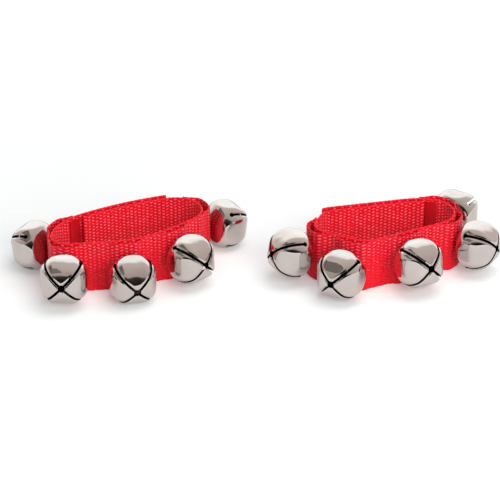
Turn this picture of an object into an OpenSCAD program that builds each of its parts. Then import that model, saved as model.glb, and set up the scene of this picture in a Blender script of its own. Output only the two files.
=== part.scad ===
// A pair of wrist bells: two webbing bands closed by hook-and-loop patches, each carrying a row of
// cross-cut jingle bells. Every bell hangs by a wire shank from a pin between two layers of webbing.
// Millimetres, +Z up, bands standing on edge on the plane z = 0.

/* [Webbing] */
// Width of the webbing, which is the height of a standing band
band_w = 25; // [20:0.5:30]
// Thickness of the strap next to the wrist
strap_t = 1.4; // [1:0.1:2]
// Thickness of the outer layer that carries the bells
carrier_t = 1; // [0.8:0.1:1.6]
// Half length over which the outer layer swells at a bell
swell_half = 9.5; // [8:0.5:11]
// Half length of the flat top of a swelling
swell_flat = 3.5; // [3:0.25:5]
// Length of outer layer past the first and the last bell
carrier_end = 11; // [10:0.5:13]

/* [Closure] */
// Thickness of the hook patch and of the loop patch
patch_t = 0.9; // [0.6:0.1:1.4]
// Length of each patch
patch_len = 34; // [25:1:38]
// Bare strap between a patch and the end of the strap
patch_end = 3; // [1:0.5:5]
// Gap between the closed patches
patch_gap = 0.2; // [0.1:0.05:0.4]
// Distance from the hook patch to each edge of the webbing
patch_margin = 1.5; // [0.5:0.25:4]
// Overlap that stays on the strap, up to the fold of the flap
fold_lead = 3; // [2:0.5:4]

/* [Bells] */
// Half width of a bell between opposite flanks
flank_r = 10.8; // [9.5:0.1:11]
// Radius of a bell across its ridges
ridge_r = 12; // [11.5:0.1:12.5]
// Radius of the flatter crown on the shank side
crown_r = 17; // [15:0.5:20]
// Depth from the middle of a bell to its crown
crown_depth = 9.3; // [9:0.1:10.5]
// Thickness of the stamped sheet
shell_t = 0.6; // [0.4:0.05:0.8]
// Width of the crossed slots
slot_w = 1.3; // [0.8:0.1:1.8]
// Radius of the round hole at the end of each slot
slot_hole_r = 1.1; // [0.8:0.1:1.5]
// Angle from the mouth to the end of a slot
slot_angle = 98; // [85:1:105]
// Radius of the opening where the slots cross
mouth_r = 1.7; // [1.2:0.1:2.2]
// Radius of the loose pellet
pellet_r = 3.2; // [2.5:0.1:3.8]
// Gap between a pellet and the flank that it lies on
pellet_gap = 0.3; // [0.2:0.05:0.5]

/* [Shanks] */
// Radius of the shank wire
wire_r = 0.45; // [0.4:0.05:0.6]
// Radius of the retaining pin
pin_r = 0.5; // [0.45:0.05:0.8]
// Length of the retaining pin
pin_len = 6; // [5:0.25:6.5]
// Running clearance between the pin and the shank
pin_play = 0.08; // [0.05:0.01:0.12]
// Clearance of the shank from the strap, the slit and the shell
wire_play = 0.15; // [0.1:0.05:0.4]
// Room between the pin and the outer layer
pocket_play = 0.4; // [0.35:0.05:0.7]
// Length of the bent end of a shank inside the shell
prong_len = 2; // [1.5:0.25:3]
// Height of the slit that a shank comes through
slit_h = 6.5; // [6:0.25:8]
// Gap between a bell's crown and the outer layer
crown_gap = 0.5; // [0.45:0.05:1]

/* [Left band] */
// Inner end of the left strap
left_start = [-81.72, 6.34]; // x and y
// Direction in which the left strap leaves its inner end
left_heading = 35.8; // [30:0.2:40]
// Bends of the left strap: radius and turn, or 0 and a length that is worked out
left_bends = [[150, 16.8], [13.1, 156.7], [0, 0], [40.6, 34.5], [0, 0], [8, 98.8], [27.6, 53.2]]; // turns add up to 360
// Which two runs of the left strap are worked out
left_free = [2, 4]; // places in the list of bends
// Overlap of the left closure
left_overlap = 44.5; // [40:0.5:46]
// Distance of each left bell along the strap from its inner end
left_stations = [62.5, 92.7, 117.3, 145, 169]; // in rising order, 18 or more apart
// Upward tilt of each left bell
left_tilts = [-7.5, 3.9, -7.5, 5.2, -7.5]; // each from -8 to 11

/* [Right band] */
// Inner end of the right strap
right_start = [81.98, 23.08]; // x and y
// Direction in which the right strap leaves its inner end
right_heading = 178.4; // [174:0.2:181]
// Bends of the right strap: radius and turn, or 0 and a length
right_bends = [[39.3, 15.1], [0, 35.5], [8.2, 53.4], [0, 6.4], [9.6, 84.8], [0, 0], [11.3, 56.3],
    [0, 0], [13.7, 150.4]]; // turns add up to 360
// Which two runs of the right strap are worked out
right_free = [5, 7]; // places in the list of bends
// Overlap of the right closure
right_overlap = 49; // [42:1:50]
// Distance of each right bell along the strap from its inner end
right_stations = [68.1, 88.5, 114.5, 142.5, 162.6]; // in rising order, 18 or more apart
// Upward tilt of each right bell
right_tilts = [10.5, -0.3, 10.5, 6.6, 2.1]; // each from -8 to 11

/* [Hidden] */
$fn = 48;
bells = len(left_stations);
sample_step = 1;
// Clearance between two layers of webbing that lie on each other
layer_gap = 0.05;
fold_gap = 0.1;

// Offsets from the middle of the strap, outwards
strap_face = strap_t / 2;
shank_in = strap_face + wire_play;
pin_off = shank_in + 2 * wire_r + pin_play + pin_r;
pocket_face = pin_off + pin_r + pocket_play;
carrier_face = strap_face + layer_gap;
swell = pocket_face - carrier_face;
crown_off = pocket_face + carrier_t + crown_gap;
// Distance from a pin to the middle of its bell
reach = crown_off + crown_depth - pin_off;
loop_r = pin_r + pin_play + wire_r;
overlap_gap = strap_t + 2 * patch_t + patch_gap;
bell_z = band_w / 2;
pellet_drop = flank_r - shell_t - pellet_r - pellet_gap;

// Length of a bend
function bend_len(g) = g[0] == 0 ? g[1] : g[0] * g[1] * PI / 180;

// Turn of a bend in degrees
function bend_turn(g) = g[0] == 0 ? 0 : g[1];

// Step from the start of a bend to its end: forwards, and to the side it turns to
function bend_step(g) = g[0] == 0 ? [g[1], 0] : [g[0] * sin(g[1]), g[0] * (1 - cos(g[1]))];

// Place and heading [x, y, heading] after a bend that starts at pose p
function after(p, g, side) =
    let (d = bend_step(g))
    [p[0] + d[0] * cos(p[2]) - side * d[1] * sin(p[2]),
     p[1] + d[0] * sin(p[2]) + side * d[1] * cos(p[2]),
     p[2] + side * bend_turn(g)];

// Pose after the first n bends
function pose_after(p, bends, side, n, i = 0) =
    i >= n ? p : pose_after(after(p, bends[i], side), bends, side, n, i + 1);

// First stretch of a bend, of length s
function bend_part(g, s) = g[0] == 0 ? [0, s] : [g[0], s / g[0] * 180 / PI];

// Pose at distance s along the bends
function pose_at(p, bends, side, s, i = 0) =
    s <= bend_len(bends[i]) || i == len(bends) - 1
        ? after(p, bend_part(bends[i], s), side)
        : pose_at(after(p, bends[i], side), bends, side, s - bend_len(bends[i]), i + 1);

// Point at an outward offset from a pose
function beside(p, off, side) = [p[0] + off * cos(p[2] - side * 90), p[1] + off * sin(p[2] - side * 90)];

// Total length of the bends
function path_len(bends, i = 0) = i == len(bends) ? 0 : bend_len(bends[i]) + path_len(bends, i + 1);

// The bends with the lengths of the two free runs that bring the strap round to its own inner end
function closed_bends(start, heading, bends, free, side) =
    let (p = [start[0], start[1], heading],
         goal = beside(p, overlap_gap, side),
         open = [for (i = [0:len(bends) - 1]) (i == free[0] || i == free[1]) ? [0, 0] : bends[i]],
         end = pose_after(p, open, side, len(open)),
         h1 = pose_after(p, open, side, free[0])[2],
         h2 = pose_after(p, open, side, free[1])[2],
         dx = goal[0] - end[0],
         dy = goal[1] - end[1],
         det = cos(h1) * sin(h2) - sin(h1) * cos(h2),
         run1 = (dx * sin(h2) - dy * cos(h2)) / det,
         run2 = (cos(h1) * dy - sin(h1) * dx) / det)
    [for (i = [0:len(bends) - 1]) i == free[0] ? [0, run1] : i == free[1] ? [0, run2] : bends[i]];

// The overlapping end follows the inner end, further out by the overlap gap
function overlap_bends(bends, left, i = 0) =
    let (g = bends[i], whole = bend_len(g), part = left < whole ? bend_part(g, left) : g,
         outer = g[0] == 0 ? part : [g[0] + overlap_gap, part[1]])
    left <= whole ? [outer] : concat([outer], overlap_bends(bends, left - whole, i + 1));

// A band as [start pose, bends, side, length of the loop, whole length, stations, tilts]
function make_band(start, heading, bends, free, side, overlap, stations, tilts) =
    let (loop = closed_bends(start, heading, bends, free, side),
         all = concat(loop, overlap_bends(bends, overlap)))
    [[start[0], start[1], heading], all, side, path_len(loop), path_len(all), stations, tilts];

LEFT = make_band(left_start, left_heading, left_bends, left_free, -1, left_overlap,
    left_stations, left_tilts);
RIGHT = make_band(right_start, right_heading, right_bends, right_free, 1, right_overlap,
    right_stations, right_tilts);

function band_pose(b, s) = pose_at(b[0], b[1], b[2], s);
function fold_at(b) = b[3] + fold_lead;
function bell_at(b, i) = b[5][i];

// How far the outer layer stands off the strap at distance s: flat over each pin, then a cosine slope
function swell_at(b, s) = max([for (station = b[5])
    let (d = abs(s - station), t = (d - swell_flat) / (swell_half - swell_flat))
    t <= 0 ? swell : t >= 1 ? 0 : swell * (1 + cos(180 * t)) / 2]);

// Flat outline of a layer of webbing between two offsets, from s0 to s1
module layer_outline(b, s0, s1, inner, thick, swells = false) {
    n = ceil((s1 - s0) / sample_step);
    at = [for (k = [0:n]) s0 + (s1 - s0) * k / n];
    lift = [for (s = at) swells ? swell_at(b, s) : 0];
    outer_side = [for (k = [0:n]) beside(band_pose(b, at[k]), inner + lift[k] + thick, b[2])];
    inner_side = [for (k = [n:-1:0]) beside(band_pose(b, at[k]), inner + lift[k], b[2])];
    polygon(concat(outer_side, inner_side));
}

// Puts children in the frame of pin i: +X outwards, +Y along the band, +Z up
module at_pin(b, i) {
    p = band_pose(b, bell_at(b, i));
    q = beside(p, pin_off, b[2]);
    translate([q[0], q[1], bell_z]) rotate([0, 0, p[2] - b[2] * 90]) children();
}

// Puts children in the frame of bell i: +X from the pin through the bell's mouth, origin in its middle
module at_bell(b, i) {
    at_pin(b, i) rotate([0, -b[6][i], 0]) translate([reach, 0, 0]) children();
}

module strap(b) {
    color([0.86, 0.08, 0.1])
    linear_extrude(band_w) layer_outline(b, 0, fold_at(b), -strap_face, strap_t);
}

module flap(b) {
    color([0.86, 0.08, 0.1])
    linear_extrude(band_w) layer_outline(b, fold_at(b) + fold_gap, b[4], -strap_face, strap_t);
}

module bell_carrier(b) {
    color([0.8, 0.06, 0.08])
    difference() {
        linear_extrude(band_w)
            layer_outline(b, bell_at(b, 0) - carrier_end, bell_at(b, bells - 1) + carrier_end,
                carrier_face, carrier_t, true);
        for (i = [0:bells - 1])
            at_pin(b, i) translate([pin_r + wire_play / 2, -wire_r - wire_play, -slit_h / 2])
                cube([reach, 2 * (wire_r + wire_play), slit_h]);
    }
}

module hook_patch(b) {
    color([0.62, 0.03, 0.06])
    translate([0, 0, patch_margin]) linear_extrude(band_w - 2 * patch_margin)
        layer_outline(b, patch_end, patch_end + patch_len, strap_face, patch_t);
}

module loop_patch(b) {
    color([0.66, 0.04, 0.07])
    translate([0, 0, patch_margin]) linear_extrude(band_w - 2 * patch_margin)
        layer_outline(b, b[4] - patch_end - patch_len, b[4] - patch_end, -strap_face - patch_t, patch_t);
}

module retaining_pins(b) {
    color([0.75, 0.75, 0.77])
    for (i = [0:bells - 1])
        at_pin(b, i) rotate([90, 0, 0]) cylinder(r = pin_r, h = pin_len, center = true);
}

// A bell's body: two crossed round vaults on the mouth side, square flanks behind, round over the ridges
module vault(flank, ridge, crown, depth) {
    intersection() {
        sphere(r = ridge);
        translate([crown - depth, 0, 0]) sphere(r = crown);
        for_vault(flank, ridge) rotate([90, 0, 0]) cylinder(r = flank, h = 2 * ridge, center = true);
        for_vault(flank, ridge) cylinder(r = flank, h = 2 * ridge, center = true);
    }
}

// One vault of the mouth side, carried back as a straight channel
module for_vault(flank, ridge) {
    union() {
        children();
        translate([-ridge, -flank, -flank]) cube([ridge, 2 * flank, 2 * flank]);
    }
}

module bell_shell(b, i) {
    color([0.82, 0.82, 0.84])
    at_bell(b, i)
    difference() {
        vault(flank_r, ridge_r, crown_r, crown_depth);
        vault(flank_r - shell_t, ridge_r - shell_t, crown_r - shell_t, crown_depth - shell_t);
        for (turn = [45, 135]) rotate([turn, 0, 0]) {
            translate([ridge_r * cos(slot_angle), -ridge_r, -slot_w / 2])
                cube([ridge_r * (1 - cos(slot_angle)), 2 * ridge_r, slot_w]);
            for (end = [-1, 1]) rotate([0, 0, end * slot_angle]) rotate([0, 90, 0])
                translate([0, 0, flank_r / 2]) cylinder(r = slot_hole_r, h = ridge_r);
        }
        rotate([0, 90, 0]) cylinder(r = mouth_r, h = 2 * ridge_r);
        for (leg = [-1, 1]) translate([-2 * ridge_r, 0, leg * loop_r]) rotate([0, 90, 0])
            cylinder(r = wire_r + wire_play, h = 2 * ridge_r);
    }
}

// A bent wire: a loop round the pin, two legs through the crown and their ends turned outwards inside
module bell_shank(b, i) {
    leg_end = -crown_depth + shell_t + 3 * wire_play + wire_r;
    leg_start = -reach;
    color([0.7, 0.7, 0.72])
    at_bell(b, i)
    union() {
        translate([leg_start, 0, 0]) rotate([90, 0, 0]) rotate([0, 0, 90])
            rotate_extrude(angle = 180) translate([loop_r, 0]) circle(r = wire_r);
        for (leg = [-1, 1]) {
            translate([leg_start, 0, leg * loop_r]) rotate([0, 90, 0])
                cylinder(r = wire_r, h = leg_end - leg_start);
            translate([leg_end, 0, leg * loop_r]) sphere(r = wire_r);
            translate([leg_end, 0, leg * loop_r]) rotate([leg > 0 ? 0 : 180, 0, 0])
                cylinder(r = wire_r, h = prong_len);
        }
    }
}

module bell_pellet(b, i) {
    color([0.6, 0.6, 0.62])
    at_bell(b, i) translate([0, 0, -pellet_drop]) sphere(r = pellet_r);
}

for (side = ["left", "right"]) {
    b = side == "left" ? LEFT : RIGHT;
    strap(b);
    flap(b);
    bell_carrier(b);
    hook_patch(b);
    loop_patch(b);
    retaining_pins(b);
    for (i = [0:bells - 1]) {
        bell_shell(b, i);
        bell_shank(b, i);
        bell_pellet(b, i);
    }
}
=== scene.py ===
"""A pair of wrist bells: red webbing bands with rows of polished cross-cut jingle bells.

Sizes below are millimetres, as the construction has them, and every mesh is written in metres.
"""
import math

import bmesh
import bpy
import numpy as np
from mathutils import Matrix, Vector


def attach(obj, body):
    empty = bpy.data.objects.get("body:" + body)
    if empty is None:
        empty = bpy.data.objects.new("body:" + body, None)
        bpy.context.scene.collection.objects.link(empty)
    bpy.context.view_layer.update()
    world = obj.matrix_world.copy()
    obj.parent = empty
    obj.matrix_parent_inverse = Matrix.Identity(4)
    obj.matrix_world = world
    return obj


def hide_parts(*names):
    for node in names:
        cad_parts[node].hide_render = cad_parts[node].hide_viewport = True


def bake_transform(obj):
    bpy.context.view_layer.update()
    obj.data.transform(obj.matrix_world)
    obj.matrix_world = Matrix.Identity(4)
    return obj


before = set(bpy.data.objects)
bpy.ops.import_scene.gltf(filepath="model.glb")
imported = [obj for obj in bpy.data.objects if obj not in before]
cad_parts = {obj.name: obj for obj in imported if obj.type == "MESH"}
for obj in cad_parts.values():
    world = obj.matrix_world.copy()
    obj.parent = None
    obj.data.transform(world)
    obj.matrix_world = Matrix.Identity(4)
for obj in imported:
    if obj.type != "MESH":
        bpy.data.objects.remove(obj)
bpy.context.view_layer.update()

MM = 0.001

# Webbing
BAND_W = 25.0
STRAP_T = 1.4
CARRIER_T = 1.0
SWELL_HALF = 9.5
SWELL_FLAT = 3.5
CARRIER_END = 11.0
LAYER_GAP = 0.05

# Closure
PATCH_T = 0.9
PATCH_LEN = 34.0
PATCH_END = 3.0
PATCH_GAP = 0.2
PATCH_MARGIN = 1.5
FOLD_LEAD = 3.0
FOLD_GAP = 0.1
FOLD_BEND = 7.0
TAIL_LEN = 6.5
TAIL_END = 0.5
TAIL_T = 0.3

# Bells
FLANK_R = 10.8
RIDGE_R = 12.0
CROWN_R = 17.0
CROWN_DEPTH = 9.3
SHELL_T = 0.6
SLOT_W = 1.3
SLOT_HOLE_R = 1.1
SLOT_ANGLE = 98.0
MOUTH_R = 1.7
CROWN_GAP = 0.5

# Shanks
WIRE_R = 0.45
PIN_R = 0.5
PIN_PLAY = 0.08
WIRE_PLAY = 0.15
POCKET_PLAY = 0.4

# Offsets from the middle of the strap, outwards
STRAP_FACE = STRAP_T / 2
PIN_OFF = STRAP_FACE + WIRE_PLAY + 2 * WIRE_R + PIN_PLAY + PIN_R
POCKET_FACE = PIN_OFF + PIN_R + POCKET_PLAY
CARRIER_FACE = STRAP_FACE + LAYER_GAP
SWELL = POCKET_FACE - CARRIER_FACE
REACH = POCKET_FACE + CARRIER_T + CROWN_GAP + CROWN_DEPTH - PIN_OFF
OVERLAP_GAP = STRAP_T + 2 * PATCH_T + PATCH_GAP
BELL_Z = BAND_W / 2


# Paths of the straps

def bend_len(g):
    """Length of a bend (radius, turn) or run (0, length)."""
    return math.radians(g[1]) * g[0] if g[0] else g[1]


class Band:
    """The path of one strap: bends of (radius, turn), or (0, length), walked from its inner end."""

    def __init__(self, name, start, heading, bends, free, side, overlap, stations, tilts):
        self.name = name
        self.side = side
        self.stations = stations
        self.tilts = tilts
        self.start = (start[0], start[1], heading)
        loop = self.closed(bends, free)
        self.loop_len = sum(bend_len(g) for g in loop)
        self.bends = loop + self.overlapping(bends, overlap)
        self.length = sum(bend_len(g) for g in self.bends)
        self.fold = self.loop_len + FOLD_LEAD

    def walk(self, bends):
        """Poses (x, y, heading) at the start of each bend and after the last."""
        poses = [self.start]
        for g in bends:
            poses.append(self.after(poses[-1], g))
        return poses

    def after(self, pose, g):
        """Pose after a bend: forwards by r sin a and sideways by r (1 - cos a)."""
        x, y, heading = pose
        h = math.radians(heading)
        turn = math.radians(g[1]) if g[0] else 0.0
        forward = g[0] * math.sin(turn) if g[0] else g[1]
        aside = self.side * g[0] * (1 - math.cos(turn))
        return (x + forward * math.cos(h) - aside * math.sin(h),
                y + forward * math.sin(h) + aside * math.cos(h),
                heading + self.side * math.degrees(turn))

    def closed(self, bends, free):
        """The bends with the two free runs that bring the strap back to its inner end, one overlap out."""
        bare = [(0, 0.0) if i in free else g for i, g in enumerate(bends)]
        poses = self.walk(bare)
        out = math.radians(self.start[2] - self.side * 90)
        dx = self.start[0] + OVERLAP_GAP * math.cos(out) - poses[-1][0]
        dy = self.start[1] + OVERLAP_GAP * math.sin(out) - poses[-1][1]
        h1, h2 = (math.radians(poses[i][2]) for i in free)
        det = math.cos(h1) * math.sin(h2) - math.sin(h1) * math.cos(h2)
        bare[free[0]] = (0, (dx * math.sin(h2) - dy * math.cos(h2)) / det)
        bare[free[1]] = (0, (math.cos(h1) * dy - math.sin(h1) * dx) / det)
        return bare

    def overlapping(self, bends, left):
        """The outer end runs over the inner end, further out by the overlap gap."""
        tail = []
        for g in bends:
            part = min(1.0, left / bend_len(g))
            tail.append((g[0] + OVERLAP_GAP if g[0] else 0, g[1] * part))
            left -= bend_len(g)
            if left <= 0:
                break
        return tail

    def pose(self, s):
        """Arrays x, y and heading (radians) at distances s along the strap."""
        s = np.asarray(s, float)
        poses = self.walk(self.bends)
        ends = np.cumsum([bend_len(g) for g in self.bends])
        which = np.minimum(np.searchsorted(ends, s), len(ends) - 1)
        radius = np.array([g[0] for g in self.bends], float)[which]
        begin = np.concatenate([[0.0], ends[:-1]])[which]
        x0, y0, h0 = (np.array([p[k] for p in poses[:-1]])[which] for k in range(3))
        h0 = np.radians(h0)
        run = s - begin
        bent = radius > 0
        turn = np.where(bent, run / np.where(bent, radius, 1.0), 0.0)
        forward = np.where(bent, radius * np.sin(turn), run)
        aside = self.side * radius * (1 - np.cos(turn))
        return (x0 + forward * np.cos(h0) - aside * np.sin(h0),
                y0 + forward * np.sin(h0) + aside * np.cos(h0),
                h0 + self.side * turn)

    def point(self, s, off, z):
        """Points at distance s, outward offset off and height z, in metres."""
        x, y, h = self.pose(s)
        out = h - self.side * math.pi / 2
        return np.stack([x + off * np.cos(out), y + off * np.sin(out), z + 0.0 * x], -1) * MM

    def swell(self, s):
        """How far the outer layer stands off: flat over each pin, then a cosine slope down."""
        d = np.abs(np.asarray(s)[..., None] - np.array(self.stations))
        t = np.clip((d - SWELL_FLAT) / (SWELL_HALF - SWELL_FLAT), 0, 1)
        return (SWELL * (1 + np.cos(math.pi * t)) / 2).max(-1)


LEFT = Band("left", start=(-81.72, 6.34), heading=35.8,
            bends=[(150, 16.8), (13.1, 156.7), (0, 0), (40.6, 34.5), (0, 0), (8, 98.8), (27.6, 53.2)],
            free=(2, 4), side=-1, overlap=44.5,
            stations=(62.5, 92.7, 117.3, 145, 169), tilts=(-7.5, 3.9, -7.5, 5.2, -7.5))
RIGHT = Band("right", start=(81.98, 23.08), heading=178.4,
             bends=[(39.3, 15.1), (0, 35.5), (8.2, 53.4), (0, 6.4), (9.6, 84.8), (0, 0), (11.3, 56.3), (0, 0),
                    (13.7, 150.4)],
             free=(5, 7), side=1, overlap=49.0,
             stations=(68.1, 88.5, 114.5, 142.5, 162.6), tilts=(10.5, -0.3, 10.5, 6.6, 2.1))


# Shader helpers

def new_material(name):
    """A material with one Principled shader; returns it, its nodes, its links and the shader's inputs."""
    mat = bpy.data.materials.new(name)
    mat.use_nodes = True
    nodes, links = mat.node_tree.nodes, mat.node_tree.links
    return mat, nodes, links, nodes["Principled BSDF"].inputs


def feed(links, source, socket):
    """Links an output to a socket, or sets the socket to a plain value."""
    if isinstance(source, bpy.types.NodeSocket):
        links.new(source, socket)
    else:
        socket.default_value = source


def ramp(nodes, links, value, stops):
    """The colour at value along a ramp with the given (place, colour) stops."""
    node = nodes.new("ShaderNodeValToRGB")
    element = node.color_ramp.elements
    while len(element) < len(stops):
        element.new(0.5)
    for e, (place, colour) in zip(element, stops):
        e.position = place
        e.color = (*colour, 1.0)
    links.new(value, node.inputs["Fac"])
    return node.outputs["Color"]


def noise(nodes, links, vector, scale, detail):
    """Smooth noise about 0.5 over the given coordinates."""
    node = nodes.new("ShaderNodeTexNoise")
    node.inputs["Scale"].default_value = scale
    node.inputs["Detail"].default_value = detail
    links.new(vector, node.inputs["Vector"])
    return node.outputs["Fac"]


def maths(nodes, links, operation, *values):
    """One operation on outputs or plain numbers."""
    node = nodes.new("ShaderNodeMath")
    node.operation = operation
    for value, socket in zip(values, node.inputs):
        feed(links, value, socket)
    return node.outputs[0]


def mix(nodes, links, kind, factor, a, b):
    """Two colours mixed, where each of the three may be an output or a plain value."""
    node = nodes.new("ShaderNodeMix")
    node.data_type = "RGBA"
    node.blend_type = kind
    for name, source in (("Factor", factor), ("A", a), ("B", b)):
        feed(links, source, node.inputs[name])
    return node.outputs["Result"]


def bump(nodes, links, height, strength, distance):
    """A normal that follows a height."""
    node = nodes.new("ShaderNodeBump")
    node.inputs["Strength"].default_value = strength
    node.inputs["Distance"].default_value = distance
    links.new(height, node.inputs["Height"])
    return node.outputs["Normal"]


def attribute(nodes, name):
    """The node that reads one of a mesh's own attributes."""
    node = nodes.new("ShaderNodeAttribute")
    node.attribute_name = name
    return node


def object_place(nodes):
    """Object coordinates, in metres."""
    return nodes.new("ShaderNodeTexCoord").outputs["Object"]


def grey(level):
    """One level in all three channels."""
    return (level, level, level)


# Materials, with bump distances in metres and noise scales per metre, or per millimetre for the yarn

SPECK_SCALE = 900.0
SPECK_LIFT = 0.7
MOTTLE_SCALE = 120.0
MOTTLE = [(0.3, (0.86, 0.84, 0.85)), (0.7, (1.0, 1.0, 1.0))]
YARN_STRETCH = (0.9, 5.0, 1.0)
YARN_SCALE = 1.4
YARN_BUMP = 0.45
YARN_DEPTH = 0.00025
YARN_GLOSS = [(0.3, grey(0.42)), (0.7, grey(0.62))]
CLOTH_SPECULAR = 0.35
SHEEN_ROUGHNESS = 0.45
SHEEN_TINT = (1.0, 0.55, 0.55, 1.0)


def woven_red(name, stops, sheen):
    """Red webbing: colour by the height of each float, with painted shade in the hollows and a painted
    highlight on the tops, and with specks, mottled dye and fine yarn lines.
    """
    mat, nodes, links, shader = new_material(name)
    place = object_place(nodes)
    speck = maths(nodes, links, "MULTIPLY_ADD", noise(nodes, links, place, SPECK_SCALE, detail=3.0),
                  SPECK_LIFT, -SPECK_LIFT / 2)
    height = maths(nodes, links, "ADD", attribute(nodes, "weave").outputs["Fac"], speck)
    tone = ramp(nodes, links, height, stops)
    mottle = ramp(nodes, links, noise(nodes, links, place, MOTTLE_SCALE, detail=3.0), MOTTLE)
    links.new(mix(nodes, links, "MULTIPLY", 1.0, tone, mottle), shader["Base Color"])
    stretch = nodes.new("ShaderNodeMapping")
    stretch.inputs["Scale"].default_value = YARN_STRETCH
    links.new(attribute(nodes, "lay").outputs["Vector"], stretch.inputs["Vector"])
    yarn = noise(nodes, links, stretch.outputs["Vector"], YARN_SCALE, detail=4.0)
    links.new(bump(nodes, links, yarn, YARN_BUMP, YARN_DEPTH), shader["Normal"])
    links.new(ramp(nodes, links, yarn, YARN_GLOSS), shader["Roughness"])
    shader["Specular IOR Level"].default_value = CLOTH_SPECULAR
    shader["Sheen Weight"].default_value = sheen
    shader["Sheen Roughness"].default_value = SHEEN_ROUGHNESS
    shader["Sheen Tint"].default_value = SHEEN_TINT
    return mat


SMUDGE_SCALE = 150.0
SMUDGE_SHADE = 0.94
GLOSS_SCALE = 260.0
SHEET_SCALE = 130.0
SHEET_BUMP = 0.3
SHEET_DEPTH = 0.0018


def polished_metal(name, colour, smooth, worn):
    """Plated metal: faint smudges in the colour and the gloss, and a slight unevenness of the sheet."""
    mat, nodes, links, shader = new_material(name)
    place = object_place(nodes)
    shader["Metallic"].default_value = 1.0
    smudged = tuple(SMUDGE_SHADE * c for c in colour)
    smudge = noise(nodes, links, place, SMUDGE_SCALE, detail=3.0)
    links.new(ramp(nodes, links, smudge, [(0.35, smudged), (0.65, colour)]), shader["Base Color"])
    wear = noise(nodes, links, place, GLOSS_SCALE, detail=5.0)
    links.new(ramp(nodes, links, wear, [(0.35, grey(smooth)), (0.75, grey(worn))]), shader["Roughness"])
    sheet = noise(nodes, links, place, SHEET_SCALE, detail=1.0)
    links.new(bump(nodes, links, sheet, SHEET_BUMP, SHEET_DEPTH), shader["Normal"])
    return mat


# Reds set by the height of the weave: the darker reds are painted shade in the hollows between floats and
# tufts, the paler reds a painted highlight on their tops; the thread's reds only vary at random
DARK_RED = (0.55, 0.001, 0.008)
TAPE_RED = (0.68, 0.001, 0.01)
DEEP_RED = (0.76, 0.001, 0.011)
BAND_RED = (0.94, 0.003, 0.023)
HIGHLIGHT_RED = (1.0, 0.27, 0.31)
CARRIER_HIGHLIGHT = (1.0, 0.22, 0.27)
WEAVE_TONES = [(0.1, DEEP_RED), (0.5, BAND_RED), (0.7, BAND_RED), (1.0, HIGHLIGHT_RED)]
CARRIER_TONES = [(0.1, DEEP_RED), (0.5, BAND_RED), (0.75, BAND_RED), (1.0, CARRIER_HIGHLIGHT)]
TAPE_TONES = [(0.1, DARK_RED), (0.7, TAPE_RED), (1.0, DEEP_RED)]
THREAD_TONES = [(0.0, DEEP_RED), (1.0, BAND_RED)]

WEBBING = woven_red("webbing_red", WEAVE_TONES, sheen=0.06)
CARRIER = woven_red("carrier_red", CARRIER_TONES, sheen=0.03)
TAPE = woven_red("tape_red", TAPE_TONES, sheen=0.1)
THREAD = woven_red("thread_red", THREAD_TONES, sheen=0.05)
# Painted shade: the inside of each shell and the cut edges of its sheet are near black, darker than any real
# metal
INSIDE = polished_metal("bell_inside", (0.02, 0.019, 0.018), smooth=0.5, worn=0.7)
NICKEL = polished_metal("bell_nickel", (0.71, 0.675, 0.655), smooth=0.035, worn=0.09)
WIRE = polished_metal("shank_nickel", (0.3, 0.29, 0.28), smooth=0.25, worn=0.4)
STEEL = polished_metal("pellet_steel", (0.28, 0.27, 0.26), smooth=0.3, worn=0.45)


# Meshes

# Points nearer than the weld become one, and edges shorter than a sliver go
WELD = 0.02
SLIVER = 0.001


def grid_faces(rows, loop):
    """Quads of a grid whose columns close on themselves, and the two end faces."""
    r, c = np.meshgrid(np.arange(rows - 1), np.arange(loop), indexing="ij")
    nxt = (c + 1) % loop
    quads = np.stack([r * loop + c, r * loop + nxt, (r + 1) * loop + nxt, (r + 1) * loop + c], -1)
    ends = [list(range(loop))[::-1], [(rows - 1) * loop + k for k in range(loop)]]
    return quads.reshape(-1, 4).tolist() + ends


def make_object(name, verts, faces, materials, weld=False):
    """A smooth mesh object at the origin with its faces outwards, welded first if that is asked for."""
    mesh = bpy.data.meshes.new(name)
    mesh.from_pydata(verts.reshape(-1, 3).tolist(), [], faces)
    bm = bmesh.new()
    bm.from_mesh(mesh)
    if weld:
        bmesh.ops.remove_doubles(bm, verts=bm.verts, dist=WELD * MM)
        bmesh.ops.dissolve_degenerate(bm, dist=SLIVER * MM, edges=bm.edges)
    bmesh.ops.recalc_face_normals(bm, faces=bm.faces)
    bm.to_mesh(mesh)
    bm.free()
    mesh.polygons.foreach_set("use_smooth", np.full(len(mesh.polygons), True))
    for material in materials:
        mesh.materials.append(material)
    obj = bpy.data.objects.new(name, mesh)
    bpy.context.scene.collection.objects.link(obj)
    return obj


def put_attribute(obj, name, kind, values):
    """Gives each point of a mesh its own number or vector."""
    data = obj.data.attributes.new(name, kind, "POINT").data
    data.foreach_set("vector" if kind == "FLOAT_VECTOR" else "value", np.ravel(values).astype(np.float32))


# Webbing pieces

GRID_STEP = 0.36
EDGE_STEPS = 5
FLOAT_LEN = 2.05
FLOAT_GAP = 1.6
FLOAT_SLANT = 0.4
FLOAT_TAPER = 1.6
WEAVE_DEPTH = 0.3
TUFT_STEP = 0.9
HOOK_DEPTH = 0.25
LOOP_DEPTH = 0.15
TAIL_DEPTH = 0.04

# At its edges a strip is drawn in between the floats, and its tones are plainer: the painted highlight and
# shade of the floats are weaker there and lean darker
EDGE_PULL = 0.15
EDGE_TONE = 0.25
EDGE_CONTRAST = 0.4

# Painted light on the outer layer: its weave tone is scaled from the first number at its lower edge to the
# second at its upper edge, paler at the top where light from above falls and darker at the bottom
PAINTED_LIGHT_LOW = 0.68
PAINTED_LIGHT_HIGH = 1.1


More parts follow.
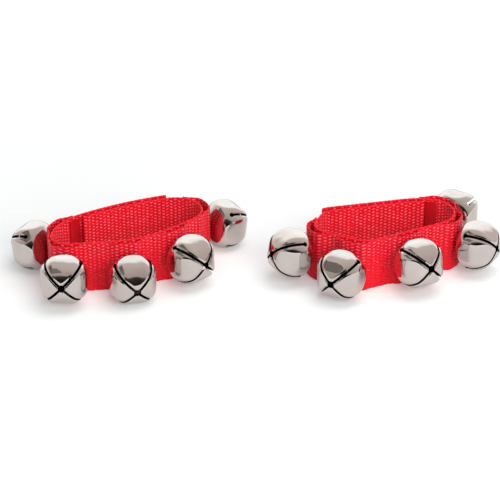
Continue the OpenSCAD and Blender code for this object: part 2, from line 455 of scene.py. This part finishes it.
def float_height(s, z):
    """Height 0 to 1 of the weave: short floats in columns, which lean to one side and the other by turns,
    with every second column half a float higher. A float falls away as 1 - u^4 along the strap and as a
    power of 1 - v^2 up it."""
    column = np.floor(s / FLOAT_LEN)
    odd = np.mod(column, 2)
    u = 2 * (s / FLOAT_LEN - column) - 1
    row = z / FLOAT_GAP + 0.5 * odd
    v = 2 * (row - np.floor(row)) - 1
    slant = v - FLOAT_SLANT * u * np.where(odd > 0, 1, -1)
    return np.clip(1 - u ** 4, 0, 1) * np.clip(1 - slant ** 2, 0, 1) ** FLOAT_TAPER


def tuft_height(s, z):
    """Height 0 to 1 of a hook or loop tape: small round tufts on a square grid, as two sines squared."""
    return (np.sin(math.pi * s / TUFT_STEP) * np.sin(math.pi * z / TUFT_STEP)) ** 2


def webbing(name, band, s0, s1, inner, thick, material, low=0.0, high=BAND_W, swells=False,
            relief=float_height, depth=WEAVE_DEPTH):
    """A strip carried along the strap: a flat loop of outer face, rounded edge, inner face and rounded edge,
    set back by depth (1 - relief) so that the tops of the weave lie on the construction's faces."""
    half = thick / 2
    s = np.linspace(s0, s1, int((s1 - s0) / GRID_STEP) + 1)
    z_face = np.linspace(low + half, high - half, int((high - low) / GRID_STEP))
    turn = np.linspace(0, math.pi, EDGE_STEPS + 2)[1:-1]
    z = np.concatenate([z_face, high - half + half * np.sin(turn), z_face[::-1],
                        low + half - half * np.sin(turn)])
    across = np.concatenate([np.ones_like(z_face), np.cos(turn), -np.ones_like(z_face), -np.cos(turn)])
    grid_s, grid_z = np.meshgrid(s, z, indexing="ij")
    grid_a = np.broadcast_to(across, grid_s.shape)
    height = relief(grid_s, grid_z)
    off = inner + half + (band.swell(grid_s) if swells else 0.0)
    off = off + grid_a * (half - depth * (1 - height))
    edge = np.clip(np.minimum(grid_z - low, high - grid_z) / half, 0, 1)
    pull = EDGE_PULL * (1 - edge) * np.sin(math.pi * grid_s / FLOAT_LEN) ** 2
    grid_z = np.where(grid_z > (low + high) / 2, grid_z - pull, grid_z + pull)
    obj = make_object(name, band.point(grid_s, off, grid_z), grid_faces(len(s), len(z)), [material])
    # The weave attribute carries painted light: a pale painted highlight where a float stands high, dark
    # painted shade in the hollows between floats
    tone = EDGE_TONE + (height - EDGE_TONE) * (EDGE_CONTRAST + (1 - EDGE_CONTRAST) * edge)
    # Painted light: the outer layer's floats are painted paler towards its top and darker towards its bottom,
    # as if lit from above
    painted_top_light = PAINTED_LIGHT_LOW + (PAINTED_LIGHT_HIGH - PAINTED_LIGHT_LOW) * (grid_z - low) / (high - low) if swells else 1.0
    put_attribute(obj, "weave", "FLOAT", painted_top_light * tone)
    put_attribute(obj, "lay", "FLOAT_VECTOR", np.stack([grid_s, grid_z, grid_a], -1))
    return obj


# Stitching

STITCH_LEN = 2.0
STITCH_STEP = 2.7
STITCH_R = 0.22
STITCH_FLAT = 0.8
STITCH_BOW = 0.1
STITCH_BLUNT = 1.02
STITCH_SIDES = 6
STITCH_RINGS = 5
SEAM_INSET = 1.4
SEAM_LOW = 2.0
SEAM_TOP = 1.0
FRAME_INSET = 1.2


def stitches(name, band, places, body):
    """Sewing thread: one short bowed capsule for each (s, z, upright, offset, outwards) place. Its radius
    goes as the root of 1 - t^2 from end to end, and it dips as t^2."""
    t = np.linspace(-1, 1, STITCH_RINGS)[:, None]
    a = np.arange(STITCH_SIDES) * 2 * math.pi / STITCH_SIDES
    taper = np.sqrt(np.clip(STITCH_BLUNT - t ** 2, 0, 1))
    along = np.broadcast_to(t * STITCH_LEN / 2, (STITCH_RINGS, STITCH_SIDES))
    side = STITCH_R * taper * np.cos(a)
    rise = STITCH_R * taper * np.sin(a) * STITCH_FLAT - STITCH_BOW * t ** 2
    capsule = grid_faces(STITCH_RINGS, STITCH_SIDES)
    verts, faces = [], []
    for n, (s, z, upright, off, out) in enumerate(places):
        ds, dz = (side, along) if upright else (along, side)
        verts.append(band.point(s + ds, off + out * rise, z + dz).reshape(-1, 3))
        first = n * STITCH_RINGS * STITCH_SIDES
        faces += [[v + first for v in f] for f in capsule]
    obj = make_object(name, np.concatenate(verts), faces, [THREAD])
    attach(obj, body)


def seam_places(band):
    """Rows of stitches up the webbing in the valleys beside each bell and at both ends of the outer layer."""
    st = band.stations
    valleys = [st[0] - CARRIER_END + SEAM_INSET] + [(a + b) / 2 for a, b in zip(st[:-1], st[1:])]
    valleys.append(st[-1] + CARRIER_END - SEAM_INSET)
    heights = np.arange(SEAM_LOW, BAND_W - SEAM_TOP, STITCH_STEP)
    faces = ((CARRIER_FACE + CARRIER_T, 1), (-STRAP_FACE, -1))
    return [(s, z, True, off, out) for off, out in faces for s in valleys for z in heights]


def frame_places(start, end, off, out):
    """A frame of stitches that holds a tape from start to end, seen on the bare face of the webbing."""
    s0, s1 = start + FRAME_INSET, end - FRAME_INSET
    z0, z1 = PATCH_MARGIN + FRAME_INSET, BAND_W - PATCH_MARGIN - FRAME_INSET
    runs = [(s, z, False, off, out) for z in (z0, z1) for s in np.arange(s0, s1, STITCH_STEP)]
    return runs + [(s, z, True, off, out) for s in (s0, s1) for z in np.arange(z0, z1, STITCH_STEP)]


# Bands

def stand_for(piece, body, node):
    """The piece moves with a body and takes a node's place."""
    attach(piece, body)
    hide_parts(node)


def dress_band(band):
    """Strap, flap, outer layer, both tapes and the stitching of one band."""
    side = band.name
    body, flap_body = side + "_band", side + "_flap"
    hook_start, hook_end = PATCH_END, PATCH_END + PATCH_LEN
    loop_start, loop_end = band.length - PATCH_END - PATCH_LEN, band.length - PATCH_END
    tape_low, tape_high = PATCH_MARGIN, BAND_W - PATCH_MARGIN

    strap = webbing(side + "_strap_webbing", band, 0, band.fold, -STRAP_FACE, STRAP_T, WEBBING)
    stand_for(strap, body, side + "_strap")

    flap = webbing(side + "_flap_webbing", band, band.fold + FOLD_GAP / 2, band.length, -STRAP_FACE, STRAP_T,
                   WEBBING)
    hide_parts(side + "_flap")
    bend_from = band.point(np.array(band.fold), 0.0, BELL_Z)
    bend_to = band.point(np.array(band.fold + FOLD_BEND), 0.0, BELL_Z)
    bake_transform(flap)

    outer = webbing(side + "_carrier_webbing", band, band.stations[0] - CARRIER_END,
                    band.stations[-1] + CARRIER_END, CARRIER_FACE, CARRIER_T, CARRIER, swells=True)
    stand_for(outer, body, side + "_bell_carrier")

    hooks = webbing(side + "_hook_tape", band, hook_start, hook_end, STRAP_FACE, PATCH_T, TAPE,
                    tape_low, tape_high, relief=tuft_height, depth=HOOK_DEPTH)
    stand_for(hooks, body, side + "_hook_patch")

    loops = webbing(side + "_loop_tape", band, loop_start, loop_end, -STRAP_FACE - PATCH_T, PATCH_T, TAPE,
                    tape_low, tape_high, relief=tuft_height, depth=LOOP_DEPTH)
    stand_for(loops, flap_body, side + "_loop_patch")

    tail = webbing(side + "_tape_tail", band, band.loop_len - TAIL_LEN, band.loop_len - TAIL_END,
                   -STRAP_FACE - TAIL_T, TAIL_T, TAPE, tape_low, tape_high,
                   relief=tuft_height, depth=TAIL_DEPTH)
    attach(tail, body)

    band_rows = seam_places(band) + frame_places(hook_start, hook_end, -STRAP_FACE, -1)
    stitches(side + "_band_stitches", band, band_rows, body)
    stitches(side + "_flap_stitches", band, frame_places(loop_start, loop_end, STRAP_FACE, 1), flap_body)


# Bells

PETAL_COLUMNS = 35
PETAL_ROWS = 84
RIDGE_SOFT = 0.22
TINY = 1e-6

# How far and how wide a petal's edges roll inwards, and the angle over which the roll ends
ROLL_DEPTH = 0.28
ROLL_WIDTH = 0.55
ROLL_FADE = 0.12

# The largest sine of the angle that half a slot takes up at the mouth
MARGIN_MOST = 0.7


def vault_radius(d):
    """Distance from a bell's middle to its wall along unit directions d: the least of the ridge sphere, the
    crown sphere and the two crossed vaults, blended by a soft minimum."""
    x, y, z = d[..., 0], d[..., 1], d[..., 2]
    mouth = np.maximum(x, 0)
    across = FLANK_R / np.sqrt(mouth ** 2 + z ** 2 + TINY)
    upright = FLANK_R / np.sqrt(mouth ** 2 + y ** 2 + TINY)
    centre = CROWN_R - CROWN_DEPTH
    crown = centre * x + np.sqrt((centre * x) ** 2 + CROWN_R ** 2 - centre ** 2)
    ridge = np.full_like(x, RIDGE_R)
    walls = np.stack([across, upright, crown, ridge])
    return -RIDGE_SOFT * np.log(np.exp(-(walls - RIDGE_R) / RIDGE_SOFT).sum(0)) + RIDGE_R


def slot_half(theta, reach):
    """Half width of a slot at angle theta from the mouth: straight, then a round hole, then closed."""
    hole = SLOT_HOLE_R ** 2 - (reach * (theta - math.radians(SLOT_ANGLE))) ** 2
    straight = np.where(theta < math.radians(SLOT_ANGLE), SLOT_W / 2, 0.0)
    return np.maximum(straight, np.sqrt(np.clip(hole, 0, None)))


def petal_grid():
    """One quarter of a bell, from the slots at its two sides to the crown: rows run from mouth to crown by
    theta, columns from slot to slot, closer together there as u (3 - u^2) / 2, and the edges along the
    slots roll inwards as a bell curve."""
    slot_end = math.radians(SLOT_ANGLE) + SLOT_HOLE_R / RIDGE_R
    theta = np.concatenate([np.linspace(math.asin(MOUTH_R / FLANK_R), slot_end, PETAL_ROWS),
                            np.linspace(slot_end, math.pi, PETAL_ROWS // 2)[1:]])
    u = np.linspace(-1, 1, PETAL_COLUMNS)
    u = u * (1.5 - 0.5 * u ** 2)
    diagonal = np.stack([np.cos(theta), np.sin(theta) * math.sqrt(0.5), np.sin(theta) * math.sqrt(0.5)], -1)
    reach = vault_radius(diagonal)
    room = np.maximum(reach * np.sin(theta), TINY)
    margin = np.arcsin(np.clip(slot_half(theta, reach) / room, 0, MARGIN_MOST))
    phi = (math.pi / 4 - margin)[:, None] * u
    th = np.broadcast_to(theta[:, None], phi.shape)
    d = np.stack([np.cos(th), np.sin(th) * np.cos(phi), np.sin(th) * np.sin(phi)], -1)
    r = vault_radius(d)
    from_slot = room[:, None] * (math.pi / 4 - margin[:, None] - np.abs(phi))
    fade = np.clip((slot_end - th) / ROLL_FADE, 0, 1)
    r = r - ROLL_DEPTH * fade * np.exp(-(from_slot / ROLL_WIDTH) ** 2)
    return d * r[..., None]


PETAL = petal_grid()


def bell_shell(name, place):
    """Four petals about the bell's axis, in the frame that place maps to, welded where no slot parts them,
    with a wall of the sheet's thickness inside them."""
    rows, columns = PETAL.shape[:2]
    k, j = np.meshgrid(np.arange(rows - 1), np.arange(columns - 1), indexing="ij")
    corner = k * columns + j
    quads = np.stack([corner, corner + 1, corner + columns + 1, corner + columns], -1).reshape(-1, 4)
    x, y, z = PETAL[..., 0], PETAL[..., 1], PETAL[..., 2]
    verts, faces = [], []
    for quarter in range(4):
        a = quarter * math.pi / 2
        turned = np.stack([x, y * math.cos(a) - z * math.sin(a), y * math.sin(a) + z * math.cos(a)], -1)
        verts.append(place(turned.reshape(-1, 3)))
        faces.append(quads + quarter * rows * columns)
    faces = np.concatenate(faces).tolist()
    obj = make_object(name, np.concatenate(verts), faces, [NICKEL, INSIDE], weld=True)
    wall = obj.modifiers.new("wall", "SOLIDIFY")
    wall.thickness = SHELL_T * MM
    wall.offset = -1.0
    # The inner face and the rim take the near-black painted shade of the inside
    wall.material_offset = 1
    wall.material_offset_rim = 1
    return obj


def bell_place(band, i):
    """The map from a bell's own frame to the scene: tilt about the pin, turn to face outwards, then move."""
    x, y, h = (float(value) for value in band.pose(np.array(float(band.stations[i]))))
    out = h - band.side * math.pi / 2
    tilt = math.radians(band.tilts[i])
    pin = np.array([x + PIN_OFF * math.cos(out), y + PIN_OFF * math.sin(out), BELL_Z])
    axis = np.array([math.cos(tilt) * math.cos(out), math.cos(tilt) * math.sin(out), math.sin(tilt)])
    along = np.array([-math.sin(out), math.cos(out), 0.0])
    turn = np.stack([axis, along, np.cross(axis, along)])

    def place(points):
        return (pin + REACH * axis + points @ turn) * MM

    return place


def paint(node, material):
    """Gives a node of the construction its finish."""
    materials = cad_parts[node].data.materials
    materials.clear()
    materials.append(material)


def dress_bells(band):
    """A polished shell on every bell, and plated or plain steel on its shank, its pellet and the pins."""
    for i in range(len(band.stations)):
        bell, number = band.name + "_bell", i + 1
        shell = bell_shell(f"{bell}_petals_{number}", bell_place(band, i))
        stand_for(shell, f"{bell}_{number}", f"{bell}_shell_{number}")
        paint(f"{bell}_shank_{number}", WIRE)
        paint(f"{bell}_pellet_{number}", STEEL)
    paint(band.name + "_retaining_pins", STEEL)


for band in (LEFT, RIGHT):
    dress_band(band)
    dress_bells(band)


# Studio, in metres and watts

FLOOR_HALF = 3.0
FLOOR_TONE = (0.865, 0.89, 0.885, 1.0)
FLOOR_TONE_IN_METAL = (0.64, 0.605, 0.585, 1.0)
FLOOR_GLOW = 0.16
FAR_GLOW = 0.34
GLOW_NEAR = 0.14
GLOW_FAR = 0.4
WHITE = (1.0, 1.0, 1.0, 1.0)
WORLD_LEVEL = 0.48
CARD_TONE = (0.2, 0.17, 0.155, 1.0)

# The room that the metal reflects, from behind the camera (0) to behind the object (1)
ROOM = [(0.04, (0.012, 0.01, 0.008)), (0.11, (0.05, 0.042, 0.036)), (0.14, (0.12, 0.1, 0.088)),
        (0.165, (0.47, 0.4, 0.365)), (0.5, (0.64, 0.55, 0.51)), (0.76, (0.7, 0.62, 0.58)),
        (0.83, (1.15, 1.12, 1.1)), (0.95, (1.3, 1.28, 1.26))]


def stage_quad(name, corners, material):
    """A flat piece of the studio, which is no part of the object."""
    mesh = bpy.data.meshes.new(name)
    mesh.from_pydata(corners, [], [(0, 1, 2, 3)])
    mesh.materials.append(material)
    obj = bpy.data.objects.new(name, mesh)
    bpy.context.scene.collection.objects.link(obj)
    return obj


def glossy_ray(nodes):
    """1 for rays that a surface reflects, 0 for others."""
    return nodes.new("ShaderNodeLightPath").outputs["Is Glossy Ray"]


def seen_ray(nodes, links):
    """1 for camera, glossy and transmission rays, 0 for the light that falls on things."""
    path = nodes.new("ShaderNodeLightPath").outputs
    seen = maths(nodes, links, "MAXIMUM", path["Is Camera Ray"], path["Is Glossy Ray"])
    return maths(nodes, links, "MAXIMUM", seen, path["Is Transmission Ray"])


def far_glow(nodes, links):
    """The floor's own glow, which grows with the distance from the object, as a lit backdrop does."""
    away = nodes.new("ShaderNodeVectorMath")
    away.operation = "LENGTH"
    links.new(object_place(nodes), away.inputs[0])
    glow = nodes.new("ShaderNodeMapRange")
    links.new(away.outputs["Value"], glow.inputs["Value"])
    glow.inputs["From Min"].default_value = GLOW_NEAR
    glow.inputs["From Max"].default_value = GLOW_FAR
    glow.inputs["To Min"].default_value = FLOOR_GLOW
    glow.inputs["To Max"].default_value = FAR_GLOW
    return glow.outputs["Result"]


def studio_floor():
    """A wide white floor that keeps the shadows, and is a little darker in reflections than to the camera."""
    mat, nodes, links, shader = new_material("floor_white")
    tone = mix(nodes, links, "MIX", glossy_ray(nodes), FLOOR_TONE, FLOOR_TONE_IN_METAL)
    links.new(tone, shader["Base Color"])
    shader["Roughness"].default_value = 0.9
    shader["Specular IOR Level"].default_value = 0.1
    shader["Emission Color"].default_value = WHITE
    glow = maths(nodes, links, "MULTIPLY", seen_ray(nodes, links), far_glow(nodes, links))
    links.new(glow, shader["Emission Strength"])
    half = FLOOR_HALF
    stage_quad("floor", [(-half, -half, 0), (half, -half, 0), (half, half, 0), (-half, half, 0)], mat)


def studio_world():
    """White light all round, and in reflections a white wall, a grey ceiling and a dim room in front."""
    world = bpy.data.worlds.new("studio")
    bpy.context.scene.world = world
    world.use_nodes = True
    nodes, links = world.node_tree.nodes, world.node_tree.links
    background = nodes["Background"].inputs
    split = nodes.new("ShaderNodeSeparateXYZ")
    links.new(nodes.new("ShaderNodeTexCoord").outputs["Generated"], split.inputs["Vector"])
    depth = maths(nodes, links, "MULTIPLY_ADD", split.outputs["Y"], 0.5, 0.5)
    room = ramp(nodes, links, depth, ROOM)
    links.new(mix(nodes, links, "MIX", glossy_ray(nodes), WHITE, room), background["Color"])
    level = maths(nodes, links, "MULTIPLY_ADD", seen_ray(nodes, links), 1.0 - WORLD_LEVEL, WORLD_LEVEL)
    links.new(level, background["Strength"])


def facing(place, target):
    """The turn that points -Z from place to target, with Y upwards."""
    return (Vector(target) - Vector(place)).to_track_quat("-Z", "Y")


def softbox(name, place, target, size, power):
    """A square area light aimed at a point."""
    data = bpy.data.lights.new(name, "AREA")
    data.size = size
    data.energy = power
    lamp = bpy.data.objects.new(name, data)
    lamp.location = place
    lamp.rotation_euler = facing(place, target).to_euler()
    lamp.visible_glossy = False
    bpy.context.scene.collection.objects.link(lamp)


def dark_card(name, place, target, width, height):
    """A dark card that faces a point and is seen only in reflections, to give the metal its contrast."""
    turn = facing(place, target)
    flat = [(-width, -height), (width, -height), (width, height), (-width, height)]
    corners = [tuple(Vector(place) + turn @ Vector((x / 2, y / 2, 0.0))) for x, y in flat]
    mat, _, _, shader = new_material(name)
    shader["Base Color"].default_value = CARD_TONE
    shader["Roughness"].default_value = 1.0
    card = stage_quad(name, corners, mat)
    card.visible_camera = False
    card.visible_diffuse = False
    card.visible_shadow = False


# The camera looks at this point, which falls on the middle of the picture
CAMERA_TARGET = (-0.0024, 0.01965, 0.0)
CAMERA_AWAY = 0.9
CAMERA_ELEVATION = 28.0
PIXELS_PER_MM = 2.05
PICTURE_PIXELS = 500
SENSOR_MM = 36.0


def studio_camera():
    """A long lens, a little above the table, with the photograph's scale at its target."""
    e = math.radians(CAMERA_ELEVATION)
    data = bpy.data.cameras.new("camera")
    data.sensor_width = SENSOR_MM
    data.lens = PIXELS_PER_MM * CAMERA_AWAY / MM / PICTURE_PIXELS * SENSOR_MM
    camera = bpy.data.objects.new("camera", data)
    x, y, z = CAMERA_TARGET
    camera.location = (x, y - CAMERA_AWAY * math.cos(e), z + CAMERA_AWAY * math.sin(e))
    camera.rotation_euler = facing(camera.location, CAMERA_TARGET).to_euler()
    bpy.context.scene.collection.objects.link(camera)
    bpy.context.scene.camera = camera


studio_floor()
studio_world()
softbox("top_light", place=(0.2, -0.05, 0.8), target=(0.0, 0.0, 0.0), size=0.6, power=2.8)
softbox("front_light", place=(0.36, -0.85, 0.48), target=(0.0, 0.0, 0.02), size=0.6, power=6.4)
dark_card("dark_card", place=(-0.48, -0.14, 0.62), target=(0.0, 0.0, 0.01), width=0.75, height=0.55)
studio_camera()
bpy.context.scene.view_settings.view_transform = "Standard"
